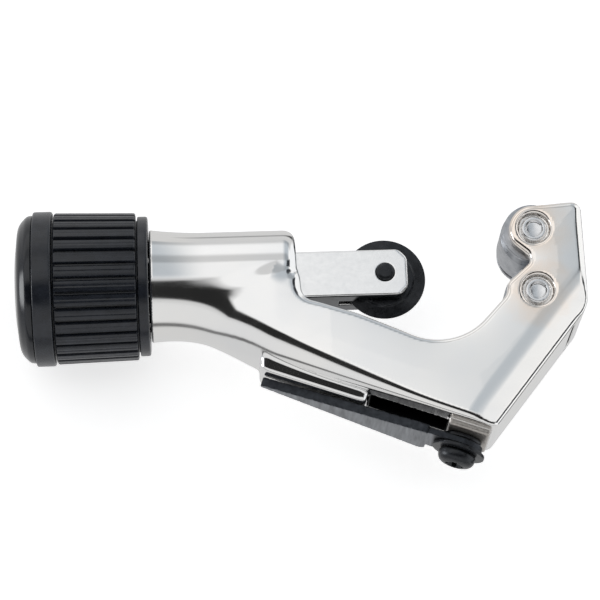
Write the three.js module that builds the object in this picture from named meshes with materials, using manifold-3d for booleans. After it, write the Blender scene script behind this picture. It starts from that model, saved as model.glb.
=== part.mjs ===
// Pipe cutter, screw-fed, for pipe of about 3 to 30 mm outside diameter.
// Millimetres. The tool lies on its side: X runs along the feed axis from the knob to the rollers,
// Z is up, across the tool's thickness, and Z = 0 is the tool's middle plane in the tool group below.
// The tool group's origin is the centre of the cutter wheel.
import * as THREE from "three";
import { mergeVertices } from "three/addons/utils/BufferGeometryUtils.js";
import Module from "manifold-3d";

const wasm = await Module();
wasm.setup();

// ---- Driving dimensions ----

// Casting: a barrel on the feed axis, an arm that slopes down from it, and a fork that holds the rollers.
const HALF_THICK = 13;
const BARREL_R = 12.6;
const BARREL_FLARE_R = 13.8;
const MOUTH_X = -21.4;
const BARREL_X = -56.6;
const NECK_R = 10.8;
const NECK_X = -76;
const WEB_FRONT_X = -64.4;
const WEB_REAR_X = -68.4;
const CHAMBER_R = 8.7;
const GUIDE_X = -36;
const POCKET_R = 7.6;
const RING_GROOVE_R = 8.35;
const RING_GROOVE_X = -74.15;
const RING_GROOVE_W = 1.2;
const RING_INNER_R = 6.5;
const RING_EYE_R = 1.3;
const BODY_CHAMFER = 1.8;

// Underside of the arm: a straight wall that slopes at ARM_ANGLE. In the arm's own frame
// x runs down the slope towards the rollers and y points into the casting.
const ARM_ANGLE = THREE.MathUtils.degToRad(20.1);
const WALL_Y = -30.4;
const CORNER_U = 36.4;
const REST_PAD_Y = -32.8;
const REST_PAD_U = [-21, 5.6];
const REST_PAD_Z = [-7.5, 6.5];
const PIVOT_PAD_Y = -32;
const PIVOT_PAD_U = [25.4, 35.8];
const PIVOT_PAD_HALF_Z = 8.2;
const ARM_POCKET_U = [5.9, 25.1];
const ARM_POCKET_HALF_Z = 5.2;
const ARM_POCKET_DEPTH = 8;

// Fork and rollers.
const PIN_X = 35.8;
const PIN_Y = 7.8;
const EAR_R = 6.1;
const FORK_HALF_GAP = 9.2;
const FORK_FLOOR_X = 44.6;
const FORK_LOW_Y = -16.3;
const FORK_LEFT_X = 18;
const HEAD_RIGHT_X = 48.8;
const HEAD_TOP_Y = 14.6;
const COUNTERBORE_R = 3.95;
const COUNTERBORE_Z = 11.2;
const ROLLER_R = 7.5;
const ROLLER_HALF = 8.9;
const ROLLER_GROOVE_R = 6.5;
const ROLLER_FLANGE_R = 7.2;
const ROLLER_BORE_R = 2.3;
const ROLLER_PIN_R = 2.2;
const ROLLER_PIN_HEAD_R = 3.2;
const ROLLER_PIN_TOP_Z = 12.3;
const PIN_FIT = 0.05;

// Knob, its cap and its screw.
const KNOB_FLANGE_R = 18.7;
const KNOB_RIB_R = 18.1;
const KNOB_ROOT_R = 17.1;
const KNOB_RING_R = 16.9;
const KNOB_REAR_X = -84.4;
const KNOB_FLANGE_X = -79.8;
const KNOB_RIB_END_X = -59.8;
const KNOB_FRONT_X = -56.9;
const KNOB_HOLLOW_R = 11.1;
const KNOB_WEB_X = [-80.4, -76.8];
const KNOB_RECESS_R = 9.5;
const RIB_COUNT = 32;
const CAP_R = 17.9;
const CAP_TIP_X = -89.1;
const CAP_GAP = 0.1;
const KNOB_SCREW_HEAD_R = 3.6;
const KNOB_SCREW_HEAD_T = 2.2;
const KNOB_SCREW_R = 1.9;
const KNOB_SCREW_LENGTH = 8;
const KNOB_SCREW_HOLE_R = 2;
const LOCK_WASHER_R = 4.6;
const LOCK_WASHER_T = 1.1;
const CROSS_HALF_WIDTH = 0.5;

// Feed screw: hexagon for the knob, collar between two thrust washers, then the thread.
const HEX_R = 3.9;
const HEX_FIT = 0.12;
const JOURNAL_R = 4;
const JOURNAL_FIT = 0.1;
const COLLAR_R = 6.4;
const COLLAR_X = [-71.9, -69.5];
const THREAD_R = 3.6;
const THREAD_TIP_X = -24;
const THRUST_WASHER_R = 7.45;
const THRUST_WASHER_T = 0.9;

// Slide bar, cutter wheel and its pin.
const BAR_SIZE = 11.6;
const BAR_EDGE = 0.6;
const BAR_X = [-52, 5.4];
const BAR_CORNER = 2;
const BAR_FIT = 0.06;
const BAR_BORE_R = 3.72;
const BAR_BORE_END_X = -12.8;
const BAR_SLOT_X = -11.2;
const BAR_SLOT_HALF = 1.5;
const WHEEL_R = 10;
const WHEEL_HUB_R = 7;
const WHEEL_HALF = 1.35;
const WHEEL_FIT = 0.07;
const WHEEL_PIN_R = 2.15;
const WHEEL_PIN_Z = [-7.6, 6.7];
const WHEEL_CLIP_Z = -6.4;
const WHEEL_CLIP_R = 3.9;

// Reamer: a triangular blade that folds along the arm and turns on a pan-head screw.
const REAMER_U = 29.7;
const BLADE_TIP_U = -20;
const BLADE_END_U = 21.5;
const BLADE_Y = [-35.4, -33.1];
const BLADE_TIP_Z = 1.3;
const BLADE_END_Z = [-8, 6];
const TANG_Y = [-35, -33.4];
const TANG_R = 5.4;
const SPRING_WASHER_Y = [-33.2, -32.2];
const FLAT_WASHER_Y = [-36, -35.2];
const FLAT_WASHER_R = 6.4;
const SPRING_WASHER_R = 4.8;
const SCREW_HOLE_R = 2.7;
const SCREW_R = 2.4;
const SCREW_HEAD_R = 4.55;
const SCREW_HEAD_Y = [-39.4, -36.2];
const SCREW_END_Y = -20;

// The part's origin is the middle of its box's underside.
const ORIGIN = new THREE.Vector3(-20.15, -14.6, -KNOB_FLANGE_R);

// ---- Materials ----

function material(color, roughness, metalness) {
  return new THREE.MeshStandardMaterial({ color, roughness, metalness });
}

const CHROME = material(0xdcdde0, 0.08, 1);
const SILVER = material(0xe2e3e4, 0.35, 1);
const BLACK_PLASTIC = material(0x2c2e32, 0.4, 0);
const GLOSS_PLASTIC = material(0x232529, 0.2, 0);
const BLACK_STEEL = material(0x2e3136, 0.35, 0.8);
const GREY_STEEL = material(0x7a7f87, 0.4, 1);
const ZINC_STEEL = material(0xb9bcc0, 0.3, 1);

// ---- Making and joining solids ----

// A closed geometry as a solid that can be joined and cut.
function toSolid(geometry) {
  const plain = geometry.index ? geometry.toNonIndexed() : geometry.clone();
  plain.deleteAttribute("normal");
  plain.deleteAttribute("uv");
  const merged = mergeVertices(plain, 1e-3);
  const corners = merged.index.array;
  const kept = [];
  for (let i = 0; i < corners.length; i += 3) {
    const [a, b, c] = corners.slice(i, i + 3);
    if (a !== b && b !== c && c !== a) kept.push(a, b, c);
  }
  const vertProperties = merged.attributes.position.array;
  return new wasm.Manifold(new wasm.Mesh({ numProp: 3, vertProperties, triVerts: new Uint32Array(kept) }));
}

function toGeometry(solid) {
  const { vertProperties, triVerts } = solid.getMesh();
  const geometry = new THREE.BufferGeometry();
  geometry.setAttribute("position", new THREE.BufferAttribute(vertProperties, 3));
  geometry.setIndex(new THREE.BufferAttribute(triVerts, 1));
  geometry.computeVertexNormals();
  return geometry;
}

function combine(base, added, removed) {
  let solid = toSolid(base);
  for (const geometry of added) solid = solid.add(toSolid(geometry));
  for (const geometry of removed) solid = solid.subtract(toSolid(geometry));
  return toGeometry(solid);
}

function cut(base, ...removed) {
  return combine(base, [], removed);
}

// A turned solid about X. The profile is [x, radius] pairs in the direction of rising x on the outside.
function turnedX(profile, segments = 28) {
  const points = profile.map(([x, r]) => new THREE.Vector2(r, x));
  return new THREE.LatheGeometry(points, segments).rotateZ(-Math.PI / 2);
}

// The same about Z and about Y, with [z, radius] and [y, radius] pairs.
function turnedZ(profile, segments = 28) {
  const points = profile.map(([z, r]) => new THREE.Vector2(r, z));
  return new THREE.LatheGeometry(points, segments).rotateX(Math.PI / 2);
}

function turnedY(profile, segments = 28) {
  return new THREE.LatheGeometry(profile.map(([y, r]) => new THREE.Vector2(r, y)), segments);
}

function discProfile(low, high, radius) {
  return [[low, 0], [low, radius], [high, radius], [high, 0]];
}

function ringProfile(low, high, inner, outer) {
  return [[low, inner], [low, outer], [high, outer], [high, inner], [low, inner]];
}

function rodX(radius, low, high, segments) {
  return turnedX(discProfile(low, high, radius), segments);
}

function rodY(radius, low, high, segments) {
  return turnedY(discProfile(low, high, radius), segments);
}

function rodZ(radius, low, high, x = 0, y = 0, segments = 28) {
  return turnedZ(discProfile(low, high, radius), segments).translate(x, y, 0);
}

// A box between two corners.
function block([x0, y0, z0], [x1, y1, z1]) {
  const box = new THREE.BoxGeometry(x1 - x0, y1 - y0, z1 - z0);
  return box.translate((x0 + x1) / 2, (y0 + y1) / 2, (z0 + z1) / 2);
}

// A plate of the outline between two heights, with a chamfer on both rims.
function plate(shape, low, high, chamfer = 0, curveSegments = 10) {
  const options = { depth: high - low - 2 * chamfer, bevelEnabled: chamfer > 0, curveSegments };
  Object.assign(options, { bevelThickness: chamfer, bevelSize: chamfer });
  Object.assign(options, { bevelOffset: -chamfer, bevelSegments: 1 });
  return new THREE.ExtrudeGeometry(shape, options).translate(0, 0, low + chamfer);
}

function polygon(points) {
  return new THREE.Shape(points.map(([x, y]) => new THREE.Vector2(x, y)));
}

function mesh(name, geometry, look) {
  const piece = new THREE.Mesh(geometry, look);
  piece.name = name;
  return piece;
}

// ---- Casting ----

// A point of the arm's own frame in the tool's frame.
function onArm(u, y) {
  const point = new THREE.Vector2(u, y).rotateAround(new THREE.Vector2(), -ARM_ANGLE);
  return [point.x, point.y];
}

// Outline of the arm and the fork, anticlockwise from the underside of the barrel.
function bodyOutline() {
  const shape = new THREE.Shape();
  shape.moveTo(-50, -12.6);
  shape.quadraticCurveTo(-43, -13.4, ...onArm(-23, WALL_Y));
  shape.lineTo(...onArm(CORNER_U - 2, WALL_Y));
  shape.quadraticCurveTo(...onArm(CORNER_U, WALL_Y), 25, -39.4);
  shape.lineTo(44.8, -16.4);
  shape.quadraticCurveTo(HEAD_RIGHT_X, -11.7, HEAD_RIGHT_X, -6.5);
  shape.lineTo(HEAD_RIGHT_X, HEAD_TOP_Y - 2.6);
  shape.quadraticCurveTo(HEAD_RIGHT_X, HEAD_TOP_Y, HEAD_RIGHT_X - 2.6, HEAD_TOP_Y);
  shape.lineTo(PIN_X, PIN_Y + EAR_R);
  shape.absarc(PIN_X, PIN_Y, EAR_R, 0.5 * Math.PI, 1.19 * Math.PI, false);
  shape.lineTo(33.1, 2.1);
  shape.absarc(31.6, 0.2, 2.4, 0.28 * Math.PI, -0.32 * Math.PI, true);
  shape.lineTo(30, -4.3);
  shape.quadraticCurveTo(28.7, -5.6, 28.2, -8.2);
  shape.bezierCurveTo(27.4, -10.4, 22.2, -16, 18.6, -17.6);
  shape.quadraticCurveTo(13, -20, 2.8, -16.5);
  shape.quadraticCurveTo(-2, -14.4, -9, -11.2);
  shape.bezierCurveTo(-13.5, -10, -20.4, -8.6, MOUTH_X, -3);
  shape.lineTo(MOUTH_X - 8, 0);
  shape.lineTo(-50, 0);
  return shape;
}

function barrel() {
  const profile = [
    [NECK_X, 0], [NECK_X, NECK_R - 0.6], [NECK_X + 0.6, NECK_R], [BARREL_X, NECK_R],
    [BARREL_X, BARREL_FLARE_R], [-52, 13.2], [-46, BARREL_R], [MOUTH_X - 1.2, BARREL_R],
    [MOUTH_X, BARREL_R - 1.2], [MOUTH_X, 0],
  ];
  return turnedX(profile, 40);
}

// What the barrel holds: the square guide, the slide's chamber, the screw's bearing and the thrust pocket.
function barrelCuts() {
  const guide = BAR_SIZE / 2 + BAR_FIT;
  return [
    block([GUIDE_X - 1, -guide, -guide], [MOUTH_X + 30, guide, guide]),
    rodX(CHAMBER_R, WEB_FRONT_X, GUIDE_X),
    rodX(JOURNAL_R + JOURNAL_FIT, WEB_REAR_X - 1, WEB_FRONT_X + 1),
    rodX(POCKET_R, NECK_X - 1, WEB_REAR_X),
    rodX(RING_GROOVE_R, RING_GROOVE_X, RING_GROOVE_X + RING_GROOVE_W),
  ];
}

// Pads under the arm that the folded reamer rests and turns on.
function armPads() {
  const rest = block(
    [REST_PAD_U[0], REST_PAD_Y, REST_PAD_Z[0]],
    [REST_PAD_U[1], WALL_Y + 4, REST_PAD_Z[1]],
  );
  const pivot = block(
    [PIVOT_PAD_U[0], PIVOT_PAD_Y, -PIVOT_PAD_HALF_Z],
    [PIVOT_PAD_U[1], WALL_Y + 4, PIVOT_PAD_HALF_Z],
  );
  return [rest, pivot].map((pad) => pad.rotateZ(-ARM_ANGLE));
}

function armCuts() {
  const pocket = block(
    [ARM_POCKET_U[0], WALL_Y - 4, -ARM_POCKET_HALF_Z],
    [ARM_POCKET_U[1], WALL_Y + ARM_POCKET_DEPTH, ARM_POCKET_HALF_Z],
  );
  const tapped = rodY(SCREW_R + 0.1, WALL_Y - 6, SCREW_END_Y + 1, 24).translate(REAMER_U, 0, 0);
  return [pocket, tapped].map((hole) => hole.rotateZ(-ARM_ANGLE));
}

// The fork's slot, open towards the cutter wheel and at its end, and the holes for the two roller pins.
function forkCuts() {
  const slot = block(
    [FORK_LEFT_X, FORK_LOW_Y, -FORK_HALF_GAP],
    [FORK_FLOOR_X, HEAD_TOP_Y + 5, FORK_HALF_GAP],
  );
  const holes = [PIN_Y, -PIN_Y].flatMap((y) => [
    rodZ(ROLLER_PIN_R + PIN_FIT, -20, 20, PIN_X, y, 24),
    rodZ(COUNTERBORE_R, COUNTERBORE_Z, 20, PIN_X, y, 24),
    rodZ(COUNTERBORE_R, -20, -COUNTERBORE_Z, PIN_X, y, 24),
  ]);
  return [slot, ...holes];
}

function frameCasting() {
  const body = plate(bodyOutline(), -HALF_THICK, HALF_THICK, BODY_CHAMFER, 8);
  const cuts = [...barrelCuts(), ...armCuts(), ...forkCuts()];
  return mesh("frame_casting", combine(body, [barrel(), ...armPads()], cuts), CHROME);
}

// ---- Rollers ----

function roller(name, y) {
  const half = ROLLER_HALF;
  const profile = [
    [-half, ROLLER_BORE_R], [-half, ROLLER_FLANGE_R], [-half + 1, ROLLER_FLANGE_R],
    [-half + 1.4, ROLLER_GROOVE_R], [-half + 2.6, ROLLER_GROOVE_R], [-half + 3.4, ROLLER_R],
    [half - 3.4, ROLLER_R], [half - 2.6, ROLLER_GROOVE_R], [half - 1.4, ROLLER_GROOVE_R],
    [half - 1, ROLLER_FLANGE_R], [half, ROLLER_FLANGE_R], [half, ROLLER_BORE_R],
    [-half, ROLLER_BORE_R],
  ];
  const piece = mesh(name, turnedZ(profile, 30), CHROME);
  piece.position.set(PIN_X, y, 0);
  return piece;
}

// A pin riveted at both ends, with a shallow dimple in each head.
function rollerPin(name, y) {
  const seat = COUNTERBORE_Z + PIN_FIT;
  const top = ROLLER_PIN_TOP_Z;
  const head = ROLLER_PIN_HEAD_R;
  const half = [
    [seat, ROLLER_PIN_R], [seat, head], [top - 0.4, head], [top, head - 0.5],
    [top, 1.9], [top - 0.5, 1.1], [top - 0.5, 0],
  ];
  const mirrored = half.map(([z, r]) => [-z, r]).reverse();
  const piece = mesh(name, turnedZ([...mirrored, ...half], 24), ZINC_STEEL);
  piece.position.set(PIN_X, y, 0);
  return piece;
}

// ---- Knob ----

// One tooth per rib; the grooves between the ribs are narrower than the ribs.
function ribOutline() {
  const points = [];
  for (let i = 0; i < RIB_COUNT; i += 1) {
    const steps = [[0.06, KNOB_ROOT_R], [0.16, KNOB_RIB_R], [0.84, KNOB_RIB_R], [0.94, KNOB_ROOT_R]];
    for (const [part, radius] of steps) {
      const angle = ((i + part) / RIB_COUNT) * 2 * Math.PI;
      points.push([radius * Math.cos(angle), radius * Math.sin(angle)]);
    }
  }
  return polygon(points);
}

function hexagon(radius) {
  const corner = (i) => [radius * Math.cos((i * Math.PI) / 3), radius * Math.sin((i * Math.PI) / 3)];
  return polygon([0, 1, 2, 3, 4, 5].map(corner));
}

// A plate along Z turned so that it runs along X.
function alongX(geometry) {
  return geometry.rotateY(Math.PI / 2);
}

function feedKnob() {
  const core = turnedX([
    [KNOB_REAR_X, 0], [KNOB_REAR_X, KNOB_FLANGE_R - 0.5], [KNOB_REAR_X + 0.5, KNOB_FLANGE_R],
    [KNOB_FLANGE_X - 0.5, KNOB_FLANGE_R], [KNOB_FLANGE_X, KNOB_FLANGE_R - 0.5],
    [KNOB_FLANGE_X, KNOB_ROOT_R - 0.1], [KNOB_RIB_END_X, KNOB_ROOT_R - 0.1],
    [KNOB_RIB_END_X, KNOB_RING_R - 0.6], [KNOB_RIB_END_X + 0.3, KNOB_RING_R],
    [KNOB_FRONT_X - 0.5, KNOB_RING_R], [KNOB_FRONT_X, KNOB_RING_R - 0.5], [KNOB_FRONT_X, 0],
  ], 36);
  const ribs = alongX(plate(ribOutline(), KNOB_FLANGE_X + 0.4, KNOB_RIB_END_X - 0.4, 0.4));
  const hollow = rodX(KNOB_HOLLOW_R, KNOB_WEB_X[1], KNOB_FRONT_X + 1);
  const recess = rodX(KNOB_RECESS_R, KNOB_REAR_X - 1, KNOB_WEB_X[0]);
  const drive = alongX(plate(hexagon(HEX_R + HEX_FIT), KNOB_WEB_X[0] - 1, KNOB_WEB_X[1] + 1));
  return mesh("feed_knob", combine(core, [ribs], [hollow, recess, drive]), BLACK_PLASTIC);
}

function knobEndCap() {
  const seat = KNOB_REAR_X - CAP_GAP;
  const geometry = turnedX([
    [CAP_TIP_X, 0], [CAP_TIP_X + 0.15, 7], [CAP_TIP_X + 0.7, 13], [CAP_TIP_X + 1.5, 16],
    [CAP_TIP_X + 2.8, 17.5], [seat - 0.6, CAP_R], [seat, CAP_R], [seat, KNOB_RECESS_R - 0.1],
    [seat + 1.2, KNOB_RECESS_R - 0.1], [seat + 1.2, KNOB_RECESS_R - 1.8], [seat - 1.6, KNOB_RECESS_R - 1.8],
    [seat - 1.6, 0],
  ], 36);
  return mesh("knob_end_cap", geometry, GLOSS_PLASTIC);
}

// The screw under the cap that holds the knob on the feed screw, and its lock washer.
function knobScrew() {
  const seat = KNOB_WEB_X[0] - LOCK_WASHER_T - 0.2;
  const face = seat - KNOB_SCREW_HEAD_T;
  const head = rodX(KNOB_SCREW_HEAD_R, face, seat, 32);
  const shank = rodX(KNOB_SCREW_R, seat - 0.5, seat + KNOB_SCREW_LENGTH, 24);
  const slot = [[face - 1, -2, -CROSS_HALF_WIDTH], [face + 1, 2, CROSS_HALF_WIDTH]];
  const cross = [0, Math.PI / 2].map((turn) => block(...slot).rotateX(turn));
  return mesh("knob_screw", combine(head, [shank], cross), ZINC_STEEL);
}

function knobLockWasher() {
  const seat = KNOB_WEB_X[0] - 0.1;
  const ring = turnedX(ringProfile(seat - LOCK_WASHER_T, seat, KNOB_SCREW_HOLE_R, LOCK_WASHER_R), 32);
  return mesh("knob_lock_washer", ring, ZINC_STEEL);
}

// ---- Feed screw ----

function feedScrew() {
  const shoulder = KNOB_WEB_X[1] + 0.2;
  const shaft = turnedX([
    [shoulder, 0], [shoulder, JOURNAL_R], [COLLAR_X[0], JOURNAL_R], [COLLAR_X[0], COLLAR_R],
    [COLLAR_X[1], COLLAR_R], [COLLAR_X[1], JOURNAL_R], [WEB_FRONT_X + 0.6, JOURNAL_R],
    [WEB_FRONT_X + 1.2, THREAD_R], [THREAD_TIP_X - 0.8, THREAD_R], [THREAD_TIP_X, THREAD_R - 0.8],
    [THREAD_TIP_X, 0],
  ], 36);
  const hex = alongX(plate(hexagon(HEX_R), KNOB_WEB_X[0] + 0.2, shoulder + 0.5));
  const tapped = rodX(KNOB_SCREW_HOLE_R, KNOB_WEB_X[0] - 1, KNOB_WEB_X[0] + KNOB_SCREW_LENGTH, 24);
  return mesh("feed_screw", combine(shaft, [hex], [tapped]), ZINC_STEEL);
}

function thrustWasher(name, rearX) {
  const frontX = rearX + THRUST_WASHER_T;
  const ring = turnedX(ringProfile(rearX, frontX, JOURNAL_R + JOURNAL_FIT, THRUST_WASHER_R), 36);
  return mesh(name, ring, ZINC_STEEL);
}

// A circlip with two eyes, sprung into the groove behind the rear thrust washer.
function retainingRing() {
  const x0 = RING_GROOVE_X + 0.1;
  const x1 = x0 + 1;
  const gap = block([x0 - 1, 3, -1.6], [x1 + 1, 12, 1.6]);
  const eyes = [-3, 3].map((z) => rodX(RING_EYE_R, x0, x1, 16).translate(0, 5.7, z));
  const ring = turnedX(ringProfile(x0, x1, RING_INNER_R, RING_GROOVE_R - 0.1), 40);
  return mesh("screw_retaining_ring", combine(ring, eyes, [gap]), BLACK_STEEL);
}

// ---- Slide ----

// Square section with broken edges, extruded along X.
function barSection() {
  const half = BAR_SIZE / 2;
  const near = half - BAR_EDGE;
  return polygon([
    [half, -near], [half, near], [near, half], [-near, half],
    [-half, near], [-half, -near], [-near, -half], [near, -half],
  ]);
}

function slideBar() {
  const [rear, front] = BAR_X;
  const half = BAR_SIZE / 2;
  const corners = [1, -1].map((side) => {
    const cutter = polygon([
      [front - BAR_CORNER, side * (half + 0.01)], [front + 1, side * (half - BAR_CORNER - 1)],
      [front + 1, side * (half + 1)], [front - BAR_CORNER, side * (half + 1)],
    ]);
    return plate(cutter, -half - 1, half + 1);
  });
  const geometry = cut(
    alongX(plate(barSection(), rear, front, 0.3)),
    ...corners,
    rodX(BAR_BORE_R, rear - 1, BAR_BORE_END_X),
    block([BAR_SLOT_X, -10, -BAR_SLOT_HALF], [front + 1, 10, BAR_SLOT_HALF]),
    rodZ(WHEEL_PIN_R + 0.03, -10, 10, 0, 0, 28),
  );
  return mesh("slide_bar", geometry, SILVER);
}

function cutterWheel() {
  const half = WHEEL_HALF;
  const bore = WHEEL_PIN_R + WHEEL_FIT;
  const profile = [
    [-half, bore], [-half, WHEEL_HUB_R], [-0.75, WHEEL_HUB_R + 0.7], [-0.06, WHEEL_R],
    [0.06, WHEEL_R], [0.75, WHEEL_HUB_R + 0.7], [half, WHEEL_HUB_R], [half, bore], [-half, bore],
  ];
  return mesh("cutter_wheel", turnedZ(profile, 44), BLACK_STEEL);
}

function wheelPin() {
  const [low, high] = WHEEL_PIN_Z;
  const radius = WHEEL_PIN_R;
  const profile = [
    [low, 0], [low, radius - 0.4], [low + 0.4, radius], [WHEEL_CLIP_Z - 0.45, radius],
    [WHEEL_CLIP_Z - 0.45, radius - 0.5], [WHEEL_CLIP_Z + 0.45, radius - 0.5], [WHEEL_CLIP_Z + 0.45, radius],
    [high - 0.4, radius], [high, radius - 0.5], [high, 0],
  ];
  return mesh("wheel_pin", turnedZ(profile, 28), BLACK_STEEL);
}

// An E-shaped clip, simplified to a ring with one gap, in the pin's groove.
function wheelPinClip() {
  const inner = WHEEL_PIN_R - 0.4;
  const ring = turnedZ(ringProfile(WHEEL_CLIP_Z - 0.3, WHEEL_CLIP_Z + 0.3, inner, WHEEL_CLIP_R), 32);
  const gap = block([0, -1.3, WHEEL_CLIP_Z - 2], [6, 1.3, WHEEL_CLIP_Z + 2]);
  return mesh("wheel_pin_clip", cut(ring, gap), BLACK_STEEL);
}

// ---- Reamer, in the arm's own frame ----

// A plate whose outline is given in x and z, between two heights in y.
function flatOnArm(points, [low, high]) {
  const shape = polygon(points.map(([u, z]) => [u, -z]));
  return plate(shape, low, high).rotateX(-Math.PI / 2);
}

function reamerBlade() {
  const [far, near] = BLADE_END_Z;
  const blade = flatOnArm([
    [BLADE_TIP_U, BLADE_TIP_Z - 0.5], [BLADE_END_U - 1.5, far], [BLADE_END_U, far + 0.8],
    [BLADE_END_U, near], [BLADE_TIP_U, BLADE_TIP_Z + 0.5],
  ], BLADE_Y);
  const tang = flatOnArm([
    [BLADE_END_U - 1, -TANG_R], [REAMER_U, -TANG_R], [REAMER_U, TANG_R], [BLADE_END_U - 1, TANG_R],
  ], TANG_Y);
  const eye = rodY(TANG_R, ...TANG_Y).translate(REAMER_U, 0, 0);
  const hole = rodY(SCREW_HOLE_R, -50, 0, 28).translate(REAMER_U, 0, 0);
  return mesh("reamer_blade", combine(blade, [tang, eye], [hole]), GREY_STEEL);
}

function reamerScrew() {
  const [low, high] = SCREW_HEAD_Y;
  const head = turnedY([
    [low, 0], [low + 0.15, 2.4], [low + 0.6, 3.6], [low + 1.4, SCREW_HEAD_R],
    [high, SCREW_HEAD_R], [high, SCREW_R], [SCREW_END_Y, SCREW_R], [SCREW_END_Y, 0],
  ], 36);
  const slot = [[-2.2, low - 1, -CROSS_HALF_WIDTH], [2.2, low + 1.5, CROSS_HALF_WIDTH]];
  const cross = [0, Math.PI / 2].map((turn) => block(...slot).rotateY(turn));
  const piece = mesh("reamer_screw", cut(head, ...cross), BLACK_STEEL);
  piece.position.x = REAMER_U;
  return piece;
}

function reamerFlatWasher() {
  const ring = turnedY(ringProfile(...FLAT_WASHER_Y, SCREW_HOLE_R, FLAT_WASHER_R), 36);
  const piece = mesh("reamer_flat_washer", ring, BLACK_STEEL);
  piece.position.x = REAMER_U;
  return piece;
}

// A split spring washer, drawn pressed flat.
function reamerSpringWasher() {
  const ring = turnedY(ringProfile(...SPRING_WASHER_Y, SCREW_HOLE_R, SPRING_WASHER_R), 36);
  const split = block([2, -50, -0.3], [8, 0, 0.3]).rotateY(0.6);
  const piece = mesh("reamer_spring_washer", cut(ring, split), BLACK_STEEL);
  piece.position.x = REAMER_U;
  return piece;
}

// ---- Assembly ----

const tool = new THREE.Group();
tool.position.copy(ORIGIN).negate();

tool.add(
  frameCasting(),
  feedKnob(),
  knobEndCap(),
  knobScrew(),
  knobLockWasher(),
  feedScrew(),
  thrustWasher("front_thrust_washer", WEB_REAR_X - 0.1 - THRUST_WASHER_T),
  thrustWasher("rear_thrust_washer", COLLAR_X[0] - 0.1 - THRUST_WASHER_T),
  retainingRing(),
  slideBar(),
  cutterWheel(),
  wheelPin(),
  wheelPinClip(),
);

for (const [side, y] of [["upper", PIN_Y], ["lower", -PIN_Y]]) {
  tool.add(roller(`${side}_roller`, y), rollerPin(`${side}_roller_pin`, y));
}

const reamer = new THREE.Group();
reamer.rotation.z = -ARM_ANGLE;
reamer.add(reamerBlade(), reamerScrew(), reamerFlatWasher(), reamerSpringWasher());
tool.add(reamer);

const group = new THREE.Group();
group.add(tool);

export default group;
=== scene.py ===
"""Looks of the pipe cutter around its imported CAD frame.

Lengths are millimetres in the tool's own frame, where the cutter wheel's centre is the origin, X runs
along the feed axis towards the rollers, Y towards the fork's tip and Z up. build() turns them into metres
in the row frame.
"""

import math

import bmesh
import bpy
import numpy as np
from mathutils import Matrix, Vector


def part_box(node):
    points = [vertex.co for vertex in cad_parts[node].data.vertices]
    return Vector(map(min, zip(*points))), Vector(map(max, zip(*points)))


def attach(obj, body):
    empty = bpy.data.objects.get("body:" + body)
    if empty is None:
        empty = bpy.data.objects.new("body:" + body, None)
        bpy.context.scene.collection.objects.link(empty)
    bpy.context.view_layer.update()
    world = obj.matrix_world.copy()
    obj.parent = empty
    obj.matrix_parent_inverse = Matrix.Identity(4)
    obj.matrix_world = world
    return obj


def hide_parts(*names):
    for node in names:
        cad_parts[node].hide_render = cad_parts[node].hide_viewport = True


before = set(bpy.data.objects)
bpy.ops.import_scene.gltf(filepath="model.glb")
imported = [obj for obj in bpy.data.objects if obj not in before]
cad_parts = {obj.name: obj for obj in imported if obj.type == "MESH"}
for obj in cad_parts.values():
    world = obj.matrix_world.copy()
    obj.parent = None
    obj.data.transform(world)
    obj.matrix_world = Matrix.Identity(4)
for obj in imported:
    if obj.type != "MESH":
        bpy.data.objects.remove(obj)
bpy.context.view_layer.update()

MM = 0.001
WHEEL_LOW, WHEEL_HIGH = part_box("cutter_wheel")
ORIGIN = np.array((WHEEL_LOW + WHEEL_HIGH) / 2)


def tool_box(node):
    """A CAD node's lowest and highest corners in the tool frame, in millimetres."""
    low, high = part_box(node)
    return (np.array(low) - ORIGIN) / MM, (np.array(high) - ORIGIN) / MM


CASTING_LOW, CASTING_HIGH = tool_box("frame_casting")
KNOB_LOW, KNOB_HIGH = tool_box("feed_knob")
CAP_LOW = tool_box("knob_end_cap")[0]
BAR_LOW, BAR_HIGH = tool_box("slide_bar")
ROLLER_LOW, ROLLER_HIGH = tool_box("upper_roller")
ROLLER_PIN_HIGH = tool_box("upper_roller_pin")[1]
WHEEL_PIN_LOW, WHEEL_PIN_HIGH = tool_box("wheel_pin")

PIN_X = (ROLLER_LOW[0] + ROLLER_HIGH[0]) / 2
PIN_Y = (ROLLER_LOW[1] + ROLLER_HIGH[1]) / 2
ROLLER_R = (ROLLER_HIGH[1] - ROLLER_LOW[1]) / 2
ROLLER_HALF = ROLLER_HIGH[2]
BAR_HALF = BAR_HIGH[1]
WHEEL_R = 10.0

# Casting.
HALF_THICK = 13.0
BARREL_R = 12.6
FLARE_R = 13.6
MOUTH_X = -21.4
BARREL_X = -56.6
NECK_R = 10.8
NECK_X = -76.0
ARM_ANGLE = math.radians(20.1)
WALL_Y = -30.4
REST_PAD_V = -32.8
REST_PAD_U = (-21, 5.6)
PIVOT_PAD_V = -32
PIVOT_PAD_U = (25.4, 35.8)
PIVOT_PAD_HALF_Z = 8.2
POCKET_U = (5.9, 25.1)
POCKET_HALF_Z = 5.2
POCKET_DEPTH = 8
FORK_HALF_GAP = 9.2
FORK_FLOOR_X = 44.6
FORK_LOW_Y = -16.3
COUNTERBORE_R = 3.85
COUNTERBORE_Z = 11.2
REAMER_U = 29.7
SUNK = 2.2
FACET_TILT = math.radians(15)
FACET_START = 6.5
CROWN = 0.2
CROWN_REACH = 4.5
PAD_DRAFT = 0.33
PAD_TOP_Z = 6.5
PAD_BOTTOM_Z = -7.5
SINK_START_X = -26
SINK_LENGTH = 19
GUIDE_GAP = 0.12
GUIDE_X = -24
GUIDE_HALF_LENGTH = 14
CHAMBER_R = 8.7
CHAMBER_X = -50.2
CHAMBER_HALF_LENGTH = 14.2
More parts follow.
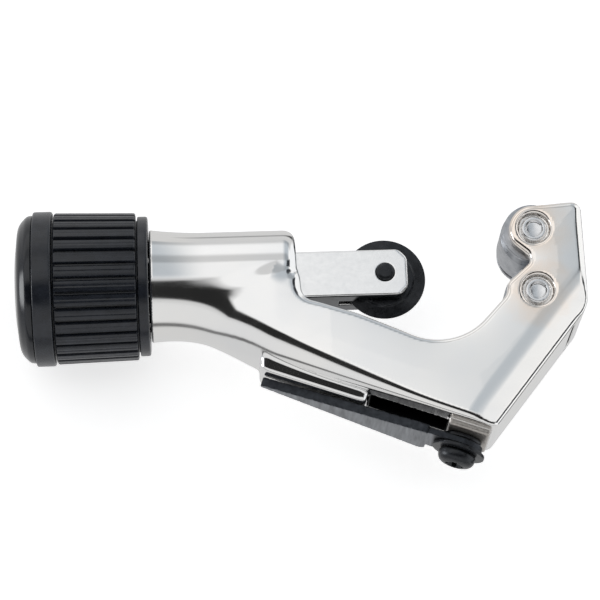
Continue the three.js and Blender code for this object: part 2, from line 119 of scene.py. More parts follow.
BEARING_R = 4.15
BEARING_X = -68
BEARING_HALF_LENGTH = 8
NECK_POCKET_R = 7.6
NECK_POCKET_X = -68.4
TAPPED_R = 2.55
TAPPED_V = (-60, -19)
ROLLER_PIN_HOLE_R = 2.3
FLARE_START_X = -43
FORK_LEFT_X = 18
MOUTH_ROUNDING = 3.2
BODY_BLEND = 2.6
CUT_EDGE = 0.6

# ---- Meshes from distance functions ----


def outline_parts(corners):
    """Lines and arcs of a closed outline whose corners (x, y, corner radius, ...) are rounded."""
    points = np.array([c[:2] for c in corners], float)
    count = len(points)
    arcs, tangents = [], []
    for i, corner in enumerate(corners):
        before, here, after = points[i - 1], points[i], points[(i + 1) % count]
        into = (here - before) / np.linalg.norm(here - before)
        out = (after - here) / np.linalg.norm(after - here)
        cross = into[0] * out[1] - into[1] * out[0]
        turn = math.atan2(cross, float(into @ out))
        reach = abs(corner[2] * math.tan(turn / 2))
        start, end = here - into * reach, here + out * reach
        side = math.copysign(1.0, turn)
        centre = start + side * corner[2] * np.array([-into[1], into[0]])
        arcs.append((centre, corner[2], side, start, end))
        tangents.append((start, end))
    lines = [(tangents[i][1], tangents[(i + 1) % count][0]) for i in range(count)]
    return lines, arcs


def outline_distance(corners, x, y, edge_radius=None):
    """Signed distance to the rounded outline, negative inside, and the blended edge radius."""
    lines, arcs = outline_parts(corners)
    shape = np.broadcast(x, y).shape
    best = np.full(shape, np.inf)
    signed = np.zeros(shape)
    total = np.zeros(shape)
    weighted = np.zeros(shape)

    def take(distance, value, radius, near):
        nonlocal best, signed, total, weighted
        closer = distance < best
        best = np.where(closer, distance, best)
        signed = np.where(closer, value, signed)
        if edge_radius is not None:
            weight = 1.0 / (near**2 + 0.5) ** 1.5
            total = total + weight
            weighted = weighted + weight * radius

    for i, (a, b) in enumerate(lines):
        along = b - a
        length = np.linalg.norm(along)
        if length < 1e-6:
            continue
        ux, uy = along / length
        t = np.clip((x - a[0]) * ux + (y - a[1]) * uy, 0, length)
        distance = np.hypot(x - a[0] - ux * t, y - a[1] - uy * t)
        side = (x - a[0]) * uy - (y - a[1]) * ux
        radius = edge_radius(i, x) if edge_radius is not None else 0
        take(distance, np.where(side > 0, distance, -distance), radius, distance)
    for i, (centre, radius, side, start, end) in enumerate(arcs):
        reach = np.hypot(x - centre[0], y - centre[1])
        a0 = math.atan2(start[1] - centre[1], start[0] - centre[0])
        a1 = math.atan2(end[1] - centre[1], end[0] - centre[0])
        span = (a1 - a0) * side % (2 * math.pi)
        angle = (np.arctan2(y - centre[1], x - centre[0]) - a0) * side % (2 * math.pi)
        gap = np.where(angle <= span, np.abs(reach - radius), np.inf)
        edge = edge_radius(i, x) if edge_radius is not None else 0
        to_ends = np.minimum(np.hypot(x - start[0], y - start[1]), np.hypot(x - end[0], y - end[1]))
        take(gap, np.where(reach > radius, gap, -gap) * side, edge, np.minimum(gap, to_ends))
    if edge_radius is None:
        return signed
    return signed, weighted / total


def extruded(flat, height, half, radius):
    """A plate |height| < half of the flat outline distance, with its rims rounded."""
    a = flat + radius
    b = np.abs(height) - half + radius
    return np.hypot(np.maximum(a, 0), np.maximum(b, 0)) + np.minimum(np.maximum(a, b), 0) - radius


def smooth_max(a, b, k):
    h = np.maximum(k - np.abs(a - b), 0) / k
    return np.maximum(a, b) + h * h * k * 0.25


def smooth_min(a, b, k):
    return -smooth_max(-a, -b, k)


def box_distance(x, y, z, low, high):
    """Signed distance-like value of a box between two corners, with None for an open side."""
    value = None
    for coordinate, a, b in zip((x, y, z), low, high):
        faces = [] if a is None else [a - coordinate]
        faces += [] if b is None else [coordinate - b]
        for face in faces:
            value = face if value is None else np.maximum(value, face)
    return value


def rod(a, b, radius, along, low, high, k=0.0):
    """A round rod of that radius in the plane (a, b) between two values of along."""
    side = np.hypot(a, b) - radius
    ends = np.maximum(low - along, along - high)
    return np.maximum(side, ends) if k == 0 else smooth_max(side, ends, k)


def gradient(field, points, step=0.01):
    normals = np.empty_like(points)
    for axis in range(3):
        ahead, behind = points.copy(), points.copy()
        ahead[:, axis] += step
        behind[:, axis] -= step
        normals[:, axis] = (field(*ahead.T) - field(*behind.T)) / (2 * step)
    return normals


def skin(field, low, high, step):
    """Vertices, quads and normals of the surface field(x, y, z) = 0 inside a box."""
    counts = [int(math.ceil((b - a) / step)) + 1 for a, b in zip(low, high)]
    axes = [a + step * np.arange(n) for a, n in zip(low, counts)]
    values = field(axes[0][:, None, None], axes[1][None, :, None], axes[2][None, None, :])
    values = np.ascontiguousarray(np.broadcast_to(values, counts)).astype(np.float32)
    inside = values < 0
    cell = [n - 1 for n in counts]
    filled = np.zeros(cell, np.int8)
    offsets = [(i, j, k) for i in (0, 1) for j in (0, 1) for k in (0, 1)]
    for i, j, k in offsets:
        filled += inside[i:i + cell[0], j:j + cell[1], k:k + cell[2]]
    active = np.argwhere((filled > 0) & (filled < 8))
    index = np.full(cell, -1, np.int64)
    index[tuple(active.T)] = np.arange(len(active))
    corner = {o: values[tuple((active + o).T)] for o in offsets}
    total = np.zeros((len(active), 3))
    crossings = np.zeros(len(active))
    for o in offsets:
        for axis in range(3):
            if o[axis]:
                continue
            other = tuple(o[n] + (n == axis) for n in range(3))
            a, b = corner[o], corner[other]
            crossed = (a < 0) != (b < 0)
            t = np.where(crossed, a / np.where(crossed, a - b, 1), 0)
            place = np.array(o, float)[None, :].repeat(len(active), 0)
            place[:, axis] += t
            total += place * crossed[:, None]
            crossings += crossed
    points = np.array([a[0] for a in axes]) + step * (active + total / crossings[:, None])
    for _ in range(4):
        value = field(*points.T)
        slope = gradient(field, points)
        size = np.maximum((slope**2).sum(1), 0.05)
        move = -slope * (value / size)[:, None]
        length = np.linalg.norm(move, axis=1)
        points = points + move * np.minimum(1, 0.4 * step / np.maximum(length, 1e-9))[:, None]
    quads = []
    for axis in range(3):
        u, v = (axis + 1) % 3, (axis + 2) % 3
        first = [slice(None)] * 3
        second = [slice(None)] * 3
        first[axis], second[axis] = slice(0, -1), slice(1, None)
        first[u] = second[u] = slice(1, -1)
        first[v] = second[v] = slice(1, -1)
        a, b = inside[tuple(first)], inside[tuple(second)]
        for edges, outward in ((np.argwhere(a & ~b), True), (np.argwhere(~a & b), False)):
            base = edges.copy()
            base[:, u] += 1
            base[:, v] += 1
            ring = []
            for du, dv in ((-1, -1), (0, -1), (0, 0), (-1, 0)):
                near = base.copy()
                near[:, u] += du
                near[:, v] += dv
                ring.append(index[tuple(near.T)])
            quads.append(np.stack(ring if outward else ring[::-1], 1))
    quads = np.concatenate(quads)
    normals = gradient(field, points)
    normals /= np.linalg.norm(normals, axis=1)[:, None]
    ring = np.concatenate([quads[:, [i, (i + j) % 4]] for i in range(4) for j in (1, 3)])
    count = np.maximum(np.bincount(ring[:, 0], minlength=len(points)), 1)[:, None]
    for _ in range(2):
        around, middle = (np.stack([
            np.bincount(ring[:, 0], column[ring[:, 1]], len(points)) for column in values.T
        ], 1) / count for values in (normals, points))
        around /= np.maximum(np.linalg.norm(around, axis=1), 1e-9)[:, None]
        odd = (normals * around).sum(1) < 0.75
        odd |= np.linalg.norm(points - middle, axis=1) > 0.5 * step
        normals[odd] = around[odd]
        points[odd] = middle[odd]
    return points, quads, normals


def build(name, points, faces, normals=None, smooth_angle=35):
    """A mesh object in the row frame from points in the tool frame."""
    data = bpy.data.meshes.new(name)
    places = ORIGIN + np.asarray(points, float) * MM
    data.from_pydata(places.tolist(), [], np.asarray(faces).tolist() if normals is not None else faces)
    piece = bpy.data.objects.new(name, data)
    bpy.context.scene.collection.objects.link(piece)
    data.polygons.foreach_set("use_smooth", [True] * len(data.polygons))
    if normals is not None:
        data.normals_split_custom_set_from_vertices(np.asarray(normals, float).tolist())
    else:
        data.set_sharp_from_angle(angle=math.radians(smooth_angle))
    data.update()
    return piece


def finish_piece(piece, body, slot, material, *nodes):
    piece.data.materials.append(material)
    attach(piece, body)
    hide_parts(*nodes)
    return piece


# ---- Turned meshes ----


def rounded_profile(corners, steps=6):
    """Points along a polyline of (along, radius, corner radius) with its corners rounded."""
    points = [np.array(c[:2], float) for c in corners]
    made = [tuple(points[0])]
    for i in range(1, len(points) - 1):
        before, here, after = points[i - 1], points[i], points[i + 1]
        radius = corners[i][2] if len(corners[i]) > 2 else 0
        into, out = here - before, after - here
        reach_in, reach_out = np.linalg.norm(into), np.linalg.norm(out)
        into, out = into / reach_in, out / reach_out
        turn = math.atan2(into[0] * out[1] - into[1] * out[0], float(into @ out))
        reach = min(abs(radius * math.tan(turn / 2)), 0.48 * reach_in, 0.48 * reach_out)
        if reach < 1e-4:
            made.append(tuple(here))
            continue
        for s in range(steps + 1):
            t = s / steps
            start, end = here - into * reach, here + out * reach
            made.append(tuple((1 - t) ** 2 * start + 2 * t * (1 - t) * here + t * t * end))
    made.append(tuple(points[-1]))
    return made


FRAMES = {
    "x": (np.array([1.0, 0, 0]), np.array([0, 1.0, 0]), np.array([0, 0, 1.0])),
    "z": (np.array([0, 0, 1.0]), np.array([1.0, 0, 0]), np.array([0, 1.0, 0])),
    "arm": (
        np.array([math.sin(ARM_ANGLE), math.cos(ARM_ANGLE), 0]),
        np.array([0, 0, 1.0]),
        np.array([math.cos(ARM_ANGLE), -math.sin(ARM_ANGLE), 0]),
    ),
}


def turned(name, profile, axis="z", centre=(0, 0, 0), segments=96, radius_of=None):
    """A surface turned about an axis. The profile is (along, radius) points and may close on itself."""
    along, first, second = FRAMES[axis]
    points, faces = [], []
    closed = np.allclose(profile[0], profile[-1])
    rows = profile[:-1] if closed else profile
    ring_of = []
    for place, radius in rows:
        start = len(points)
        if radius < 1e-6:
            points.append(np.array(centre) + along * place)
            ring_of.append((start, 1))
            continue
        for s in range(segments):
            angle = 2 * math.pi * s / segments
            r = radius if radius_of is None else radius_of(place, radius, angle)
            outward = first * math.cos(angle) + second * math.sin(angle)
            points.append(np.array(centre) + along * place + r * outward)
        ring_of.append((start, segments))
    pairs = list(zip(ring_of, ring_of[1:] + ring_of[:1])) if closed else list(zip(ring_of, ring_of[1:]))
    for (a, na), (b, nb) in pairs:
        for s in range(segments):
            t = (s + 1) % segments
            if na == 1 and nb == 1:
                continue
            if na == 1:
                faces.append((a, b + t, b + s))
            elif nb == 1:
                faces.append((a + s, a + t, b))
            else:
                faces.append((a + s, a + t, b + t, b + s))
    piece = build(name, points, faces)
    mend = bmesh.new()
    mend.from_mesh(piece.data)
    bmesh.ops.recalc_face_normals(mend, faces=mend.faces)
    mend.to_mesh(piece.data)
    mend.free()
    piece.data.set_sharp_from_angle(angle=math.radians(35))
    return piece


# ---- Materials ----


class Graph:
    """Short helpers for the nodes of one tree."""

    def __init__(self, tree):
        self.tree = tree

    def add(self, kind, **inputs):
        node = self.tree.nodes.new(kind)
        for socket, value in inputs.items():
            self.feed(node, socket.replace("_", " "), value)
        return node

    def feed(self, node, socket, value):
        target = node.inputs[socket] if isinstance(socket, str) else socket
        if isinstance(value, bpy.types.NodeSocket):
            self.tree.links.new(value, target)
        else:
            target.default_value = value

    def math(self, operation, a, b=0.0):
        node = self.tree.nodes.new("ShaderNodeMath")
        node.operation = operation
        self.feed(node, node.inputs[0], a)
        self.feed(node, node.inputs[1], b)
        return node.outputs[0]

    def remap(self, value, low, high, start=0.3, end=0.7, kind="LINEAR"):
        node = self.add("ShaderNodeMapRange", Value=value)
        node.interpolation_type = kind
        for socket, number in (("From Min", start), ("From Max", end), ("To Min", low), ("To Max", high)):
            node.inputs[socket].default_value = number
        return node.outputs[0]

    def step(self, value, start, end):
        """0 below start, 1 above end, smooth between them."""
        return self.remap(value, 0, 1, start, end, "SMOOTHSTEP")

    def band(self, value, low, high, soft):
        """1 between low and high, 0 more than soft outside them."""
        return self.math("MULTIPLY", self.step(value, low - soft, low), self.remap(
            value, 1, 0, high, high + soft, "SMOOTHSTEP"))

    def mix(self, factor, a, b, blend="MIX"):
        node = self.tree.nodes.new("ShaderNodeMix")
        node.data_type = "RGBA"
        node.blend_type = blend
        for socket, value in (("Factor_Float", factor), ("A_Color", a), ("B_Color", b)):
            self.feed(node, next(i for i in node.inputs if i.identifier == socket), value)
        return next(o for o in node.outputs if o.identifier == "Result_Color")

    def dot(self, vector, axis):
        node = self.add("ShaderNodeVectorMath")
        node.operation = "DOT_PRODUCT"
        self.tree.links.new(vector, node.inputs[0])
        node.inputs[1].default_value = axis
        return node.outputs["Value"]


class Shader(Graph):
    """A Principled material whose place output is in the tool frame, in metres."""

    def __init__(self, name, **values):
        self.material = bpy.data.materials.new(name)
        self.material.use_nodes = True
        super().__init__(self.material.node_tree)
        self.surface = self.tree.nodes["Principled BSDF"]
        for socket, value in values.items():
            self.surface.inputs[socket.replace("_", " ")].default_value = value
        coordinates = self.add("ShaderNodeTexCoord")
        self.normal = coordinates.outputs["Normal"]
        shifted = self.add("ShaderNodeMapping", Vector=coordinates.outputs["Object"])
        shifted.inputs["Location"].default_value = tuple(-ORIGIN)
        self.place = shifted.outputs[0]

    def noise(self, scale, detail=4.0, stretch=(1, 1, 1), turn=(0, 0, 0), roughness=0.55):
        mapping = self.add("ShaderNodeMapping", Vector=self.place, Scale=stretch, Rotation=turn)
        node = self.add("ShaderNodeTexNoise", Vector=mapping.outputs[0], Scale=scale, Detail=detail)
        node.inputs["Roughness"].default_value = roughness
        return node.outputs[0]

    def bump(self, height, distance, strength=1.0, normal=None):
        node = self.add("ShaderNodeBump", Height=height)
        node.inputs["Strength"].default_value = strength
        node.inputs["Distance"].default_value = distance
        if normal is not None:
            self.tree.links.new(normal, node.inputs["Normal"])
        return node.outputs[0]

    def attribute(self, name):
        node = self.add("ShaderNodeAttribute")
        node.attribute_name = name
        return node.outputs["Fac"]

    def far_from(self, x, y):
        """Distance in metres from the upright line at x, y (millimetres, tool frame)."""
        split = self.add("ShaderNodeSeparateXYZ", Vector=self.place)
        dx = self.math("SUBTRACT", split.outputs[0], x * MM)
        dy = self.math("SUBTRACT", split.outputs[1], y * MM)
        square = self.math("ADD", self.math("MULTIPLY", dx, dx), self.math("MULTIPLY", dy, dy))
        return self.math("SQRT", square)

    def set(self, socket, value):
        self.feed(self.surface, socket, value)


def grey(value):
    return (value, value, value, 1)


def chrome_material():
    """Polished plating: cloudy, warmer round the roller pins, with painted near-black shade in the hollows.

    It is dull where it is left as cast.
    """
    shader = Shader("chrome", Metallic=1.0)
    cloud = shader.remap(shader.noise(38, 4), 0, 1)
    tone = shader.mix(cloud, (0.9, 0.905, 0.91, 1), (0.972, 0.958, 0.934, 1))
    near = shader.math("MINIMUM", shader.far_from(PIN_X, PIN_Y), shader.far_from(PIN_X, -PIN_Y))
    uneven = shader.remap(shader.noise(160, 4), 0, 0.004)
    warm = shader.remap(shader.math("ADD", near, uneven), 1, 0, 0.0048, 0.013, "SMOOTHSTEP")
    warm = shader.math("MULTIPLY", warm, shader.remap(near, 0.25, 0.9, 0.0038, 0.0048))
    tone = shader.mix(warm, tone, (0.975, 0.845, 0.73, 1))
    as_cast = shader.attribute("as_cast")
    grit = shader.remap(shader.noise(1800, 4), 0, 1)
    tone = shader.mix(as_cast, tone, shader.mix(grit, (0.42, 0.395, 0.37, 1), (0.62, 0.59, 0.555, 1)))
    # Painted shade: this mask turns the arm's pocket and the barrel's bore near black.
    painted_hollow_shade = shader.attribute("painted_hollow_shade")
    shader.set("Base Color", shader.mix(painted_hollow_shade, tone, (0.012, 0.013, 0.015, 1)))
    polish = shader.remap(shader.noise(260, 4, (0.3, 1, 1)), 0.07, 0.14)
    dull = shader.math("MULTIPLY", shader.math("MAXIMUM", painted_hollow_shade, as_cast), 0.36)
    shader.set("Roughness", shader.math("ADD", polish, dull))
    wave = shader.bump(shader.noise(70, 2), 0.00002, 0.3)
    shader.set("Normal", shader.bump(shader.noise(2600, 3), 0.000004, 0.25, wave))
    return shader.material


def black_plastic():
    shader = Shader("knob_black")
    tone = shader.remap(shader.noise(400, 4), 0, 1)
    shader.set("Base Color", shader.mix(tone, (0.0105, 0.0125, 0.0175, 1), (0.021, 0.0245, 0.033, 1)))
    shader.set("Roughness", shader.remap(shader.noise(700, 4, (0.3, 1, 1)), 0.17, 0.32))
    streak = shader.bump(shader.noise(900, 3, (0.15, 1, 1)), 0.00002, 0.3)
    shader.set("Normal", shader.bump(shader.noise(3500, 3), 0.00001, 0.3, streak))
    return shader.material


def gloss_plastic():
    shader = Shader("cap_black")
    tone = shader.remap(shader.noise(300, 4), 0, 1)
    shader.set("Base Color", shader.mix(tone, (0.008, 0.0095, 0.013, 1), (0.013, 0.015, 0.0198, 1)))
    shader.set("Roughness", shader.remap(shader.noise(500, 4), 0.12, 0.2))
    shader.set("Normal", shader.bump(shader.noise(3000, 3), 0.000008, 0.2))
    return shader.material


def bar_silver():
    """Bright plating over a faintly pitted bar, with painted shade on the side that faces away from the
    fork's top.
    """
    shader = Shader("bar_silver", Metallic=1.0)
    tone = shader.remap(shader.noise(300, 5, (0.4, 1, 1)), 0, 1)
    bright = shader.mix(tone, (0.93, 0.93, 0.93, 1), (0.98, 0.98, 0.975, 1))
    # Painted shade: faces turned towards -Y get a near-black colour.
    below = shader.step(shader.dot(shader.normal, (0, -1, 0)), 0.55, 0.85)
    shader.set("Base Color", shader.mix(below, bright, (0.07, 0.0735, 0.08, 1)))
    shader.set("Roughness", shader.remap(shader.noise(900, 4), 0.12, 0.24))
    shader.set("Normal", shader.bump(shader.noise(1300, 5), 0.000005, 0.3))
    return shader.material


def roller_steel():
    """Turned steel, with fine rings and a satin sheen."""
    shader = Shader("roller_steel", Metallic=1.0)
    tone = shader.remap(shader.noise(500, 4), 0, 1)
    shader.set("Base Color", shader.mix(tone, (0.36, 0.375, 0.4, 1), (0.5, 0.515, 0.54, 1)))
    shader.set("Roughness", shader.remap(shader.noise(900, 4), 0.26, 0.38))
    shader.set("Normal", shader.bump(shader.noise(2500, 3, (0.05, 0.05, 1)), 0.000008, 0.4))
    return shader.material


def black_steel():
    shader = Shader("black_oxide", Metallic=0.5)
    tone = shader.remap(shader.noise(600, 5), 0, 1)
    shader.set("Base Color", shader.mix(tone, (0.016, 0.0178, 0.021, 1), (0.032, 0.0352, 0.041, 1)))
    shader.set("Roughness", shader.remap(shader.noise(900, 4), 0.22, 0.36))
    shader.set("Normal", shader.bump(shader.noise(2400, 4), 0.00001, 0.25))
    return shader.material


def bright_steel():
    shader = Shader("bright_steel", Metallic=1.0)
    tone = shader.remap(shader.noise(700, 4), 0, 1)
    shader.set("Base Color", shader.mix(tone, (0.74, 0.745, 0.755, 1), (0.88, 0.885, 0.89, 1)))
    shader.set("Roughness", shader.remap(shader.noise(1200, 4), 0.12, 0.26))
    shader.set("Normal", shader.bump(shader.noise(1800, 4), 0.000015, 0.35))
    return shader.material


def ground_steel():
    """The blade: one face ground, with slanting grinding lines, and its edges and tang left black."""
    shader = Shader("ground_steel", Metallic=0.85)
    lines = shader.noise(1100, 3, (1, 0.1, 0.1), (0, math.radians(-35), 0))
    ground = shader.mix(shader.remap(lines, 0, 1), (0.085, 0.093, 0.107, 1), (0.32, 0.335, 0.36, 1))
    tone = shader.remap(shader.noise(800, 4), 0, 1)
    black = shader.mix(tone, (0.025, 0.028, 0.033, 1), (0.05, 0.055, 0.064, 1))
    faces = shader.step(shader.dot(shader.normal, (-math.sin(ARM_ANGLE), -math.cos(ARM_ANGLE), 0)), 0.5, 0.8)
    along = shader.dot(shader.place, (math.cos(ARM_ANGLE), -math.sin(ARM_ANGLE), 0))
    bare = shader.math("MULTIPLY", faces, shader.remap(along, 1, 0, 0.0225, 0.0235, "SMOOTHSTEP"))
    shader.set("Base Color", shader.mix(bare, black, ground))
    shader.set("Roughness", shader.remap(lines, 0.3, 0.46))
    shader.set("Normal", shader.bump(lines, 0.000012, 0.5))
    return shader.material


CHROME = chrome_material()
BLACK_PLASTIC = black_plastic()
GLOSS_PLASTIC = gloss_plastic()
BAR_SILVER = bar_silver()
ROLLER_STEEL = roller_steel()
BLACK_STEEL = black_steel()
BRIGHT_STEEL = bright_steel()
GROUND_STEEL = ground_steel()

# ---- Casting ----


def on_arm(u, y):
    """A point of the arm's own frame in the tool frame."""
    c, s = math.cos(ARM_ANGLE), math.sin(ARM_ANGLE)
    return u * c + y * s, -u * s + y * c


def arm_coordinates(x, y):
    c, s = math.cos(ARM_ANGLE), math.sin(ARM_ANGLE)
    return x * c - y * s, x * s + y * c


HEAD_RIGHT_X = CASTING_HIGH[0] - 1.0
HEAD_TOP_Y = CASTING_HIGH[1]
UNDERSIDE = "underside"

# Corners of the arm and fork, anticlockwise: x, y, corner radius, rim radius of the edge that follows.
BODY_CORNERS = [
    (-66, -12.4, 1, UNDERSIDE),
    (-48.4, -12.6, 38, UNDERSIDE),
    (-29.5, -21.4, 60, UNDERSIDE),
    (*on_arm(36.6, WALL_Y), 1.9, 2.9),
    (HEAD_RIGHT_X, -11.6, 8, 2.0),
    (HEAD_RIGHT_X - 0.3, HEAD_TOP_Y, 2.4, 1.6),
    (29.8, 13.3, 6.1, 1.2),
    (29.9, 5.0, 5, 1.2),
    (35.3, 0.2, 1.9, 1.2),
    (28.7, -5.6, 2.5, 1.2),
    (28.5, -8.4, 4.5, 1.2),
    (15.4, -22.4, 15.2, 1.2),
    (-8, -11.9, 25, 1.4),
    (-20.6, -7.6, 4.5, 1.8),
    (-21.7, 0, 3, 9),
    (-25, 4, 1, 12.4),
    (-66, 4, 1, 12.4),
]


def rim_radius(index, x):
    """How far the rim of each edge of the body is rounded; the underside's shrinks along the arm."""
    value = BODY_CORNERS[index][3]
    if value != UNDERSIDE:
        return value
    places, radii = [-44, -37, -24.5, -17, -5, 7, 20], [10.4, 10.2, 7.4, 5.7, 3.6, 1.9, 1.5]
    return sum(np.interp(x + shift, places, radii) for shift in (-4, -2, 0, 2, 4)) / 5


def barrel_field(x, y, z):
    reach = np.hypot(y, z)
    flare = np.clip((FLARE_START_X - x) / (FLARE_START_X - BARREL_X), 0, 1)
    radius = BARREL_R + (FLARE_R - BARREL_R) * flare * flare
    return smooth_max(reach - radius, x - MOUTH_X, MOUTH_ROUNDING)


def arm_field(x, y, z):
    """The plate of the arm and the fork; its sides are a little crowned by polishing.

    It sinks into the barrel at one end, and a wide flat facet runs along the back of the head.
    """
    flat, rim = outline_distance(BODY_CORNERS, x, y, rim_radius)
    sunk = np.clip((SINK_START_X - x) / SINK_LENGTH, 0, 1)
    thin = np.interp(x, [-40, -14], [0.35, 0.0]) + SUNK * sunk**3 * (10 + sunk * (6 * sunk - 15))
    thin = thin + CROWN * np.exp(np.minimum(flat, 0) / CROWN_REACH)
    plate = extruded(flat, z, HALF_THICK - thin, rim)
    (ax, ay), (bx, by) = BODY_CORNERS[3][:2], BODY_CORNERS[4][:2]
    length = math.hypot(bx - ax, by - ay)
    outside = ((x - ax) * (by - ay) - (y - ay) * (bx - ax)) / length
    facet = (np.abs(z) - HALF_THICK) * math.cos(FACET_TILT) + (outside + FACET_START) * math.sin(FACET_TILT)
    return smooth_max(plate, facet, 0.5)


def pads_field(x, y, z):
    """The drafted pad that the blade rests on and the block under its pivot."""
    u, v = arm_coordinates(x, y)
    draft = (v - REST_PAD_V) * PAD_DRAFT
    ends = smooth_max(REST_PAD_U[0] - u - draft, u - REST_PAD_U[1], 1.8)
    sides = smooth_max(z - PAD_TOP_Z - draft, PAD_BOTTOM_Z - draft - z, 0.8)
    rest = smooth_max(smooth_max(ends, sides, 2.4), REST_PAD_V - v, 1.1)
    ends = smooth_max(PIVOT_PAD_U[0] - u, u - PIVOT_PAD_U[1], 0.8)
    pivot = smooth_max(smooth_max(ends, np.abs(z) - PIVOT_PAD_HALF_Z, 1.0), PIVOT_PAD_V - v, 0.9)
    depth = v - WALL_Y - 4
    return np.maximum(np.minimum(rest, pivot), depth)


def casting_cuts(x, y, z):
    """Everything that is cut out of the casting with crisp, slightly broken edges."""
    u, v = arm_coordinates(x, y)
    reach = np.hypot(y, z)
    square = np.maximum(np.abs(y), np.abs(z)) - BAR_HALF - GUIDE_GAP
    guide = np.maximum(square, np.abs(x - GUIDE_X) - GUIDE_HALF_LENGTH)
    chamber = np.maximum(reach - CHAMBER_R, np.abs(x - CHAMBER_X) - CHAMBER_HALF_LENGTH)
    bearing = np.maximum(reach - BEARING_R, np.abs(x - BEARING_X) - BEARING_HALF_LENGTH)
    pocket = np.maximum(reach - NECK_POCKET_R, x - NECK_POCKET_X)
    fork = box_distance(
        x, y, z, (FORK_LEFT_X, FORK_LOW_Y, -FORK_HALF_GAP), (FORK_FLOOR_X, None, FORK_HALF_GAP))
    arm_pocket = box_distance(
        u, v, z, (POCKET_U[0], None, -POCKET_HALF_Z), (POCKET_U[1], WALL_Y + POCKET_DEPTH, POCKET_HALF_Z))
    tapped = rod(u - REAMER_U, z, TAPPED_R, v, *TAPPED_V)
    holes = [guide, chamber, bearing, pocket, fork, arm_pocket, tapped]
    return np.minimum.reduce([np.broadcast_to(h, np.broadcast(x, y, z).shape) for h in holes])


def pin_holes(x, y, z):
    both = np.minimum(np.hypot(x - PIN_X, y - PIN_Y), np.hypot(x - PIN_X, y + PIN_Y))
    counterbore = smooth_max(both - COUNTERBORE_R, COUNTERBORE_Z - np.abs(z), 0.3)
    return np.minimum(both - ROLLER_PIN_HOLE_R, counterbore)


def casting_field(x, y, z):
    body = smooth_min(arm_field(x, y, z), barrel_field(x, y, z), BODY_BLEND)
    neck = rod(y, z, NECK_R, x, NECK_X, BARREL_X + 2, 1.0)
    body = smooth_max(body, BARREL_X - x, CUT_EDGE)
    body = np.minimum(body, neck)
    body = smooth_min(body, pads_field(x, y, z), 0.8)
    body = smooth_max(body, -casting_cuts(x, y, z), CUT_EDGE)
    return smooth_max(body, -pin_holes(x, y, z), 0.9)


def outside_span(value, span):
    """How far a value lies outside a span (low, high), negative inside it."""
    return np.abs(value - sum(span) / 2) - (span[1] - span[0]) / 2


def make_casting():
    margin = 1.0
    step = 0.5
    points, quads, normals = skin(casting_field, CASTING_LOW - margin, CASTING_HIGH + margin, step)
    piece = build("polished_casting", points, quads, normals)
    x, y, z = points.T
    u, v = arm_coordinates(x, y)
    # Mask of the painted shade that the chrome lays in the arm's pocket and the barrel's bore.
    pocket = np.maximum(outside_span(u, POCKET_U), np.abs(z) - POCKET_HALF_Z)
    pocket = np.maximum(pocket, np.maximum(WALL_Y + 0.2 - v, v - WALL_Y - POCKET_DEPTH - 0.6))
    bore = np.maximum(np.maximum(np.abs(y), np.abs(z)) - 9, x - MOUTH_X + 0.6)
    shade = np.clip(0.5 - np.minimum(pocket - 0.3, bore) / 0.4, 0, 1)
    block = np.maximum(outside_span(u, PIVOT_PAD_U), v - WALL_Y)
    block = np.clip(0.5 - (block + 0.1) / 0.4, 0, 1)
    for name, values in (("painted_hollow_shade", shade), ("as_cast", block)):
        piece.data.attributes.new(name, "FLOAT", "POINT").data.foreach_set("value", values.astype(np.float32))
    finish_piece(piece, "frame", "plated_casting", CHROME, "frame_casting")


# ---- Knob ----

KNOB_R = (KNOB_HIGH[1] - KNOB_LOW[1]) / 2
RIB_COUNT = 32
RIB_TOP_R = 18.3
RIB_END_R = 17.8
RIB_DEPTH = 1.0
FLANGE_X = -79.8
RIB_END_X = -59.8
KNOB_FRONT_R = 16.9
KNOB_BORE_R = 11.1
KNOB_SEAT_R = 9.5
KNOB_SEAT_X = -80.4
KNOB_WEB_X = -76.8
KNOB_SHAFT_R = 4.1


def make_knob():
    rear, front = KNOB_LOW[0], KNOB_HIGH[0]
    flange, rib_end = FLANGE_X, RIB_END_X
    profile = rounded_profile([
        (front, KNOB_BORE_R), (front, KNOB_FRONT_R, 0.6), (rib_end + 0.5, KNOB_FRONT_R, 0.3),
        (rib_end + 0.4, 15.9, 0.2),
        (rib_end, 15.9, 0.2), (rib_end, RIB_END_R, 0.5), (flange + 0.5, RIB_TOP_R, 0.5),
        (flange + 0.4, 16.6, 0.2), (flange, 16.6, 0.2), (flange, KNOB_R, 0.6), (rear, KNOB_R, 0.5),
        (rear, KNOB_SEAT_R), (KNOB_SEAT_X, KNOB_SEAT_R), (KNOB_SEAT_X, KNOB_SHAFT_R),
        (KNOB_WEB_X, KNOB_SHAFT_R), (KNOB_WEB_X, KNOB_BORE_R), (front, KNOB_BORE_R),
    ])

    def ribbed(place, radius, angle):
        if radius < 17.0 or place < flange + 0.3 or place > rib_end:
            return radius
        part = abs((angle / (2 * math.pi) * RIB_COUNT + 0.03) % 1.0 - 0.5)
        groove = np.clip((part - 0.34) / 0.09, 0, 1)
        middle = np.clip(1 - part / 0.06, 0, 1)
        ends = min(1.0, (place - flange - 0.4) / 0.5, (rib_end - place) / 0.1 + 1)
        cut = RIB_DEPTH * groove * groove * (3 - 2 * groove) + 0.14 * middle + 0.5 * part * part
        return radius - cut * max(ends, 0)

    piece = turned("ribbed_knob", profile, "x", segments=RIB_COUNT * 20, radius_of=ribbed)
    finish_piece(piece, "knob", "knob_plastic", BLACK_PLASTIC, "feed_knob")


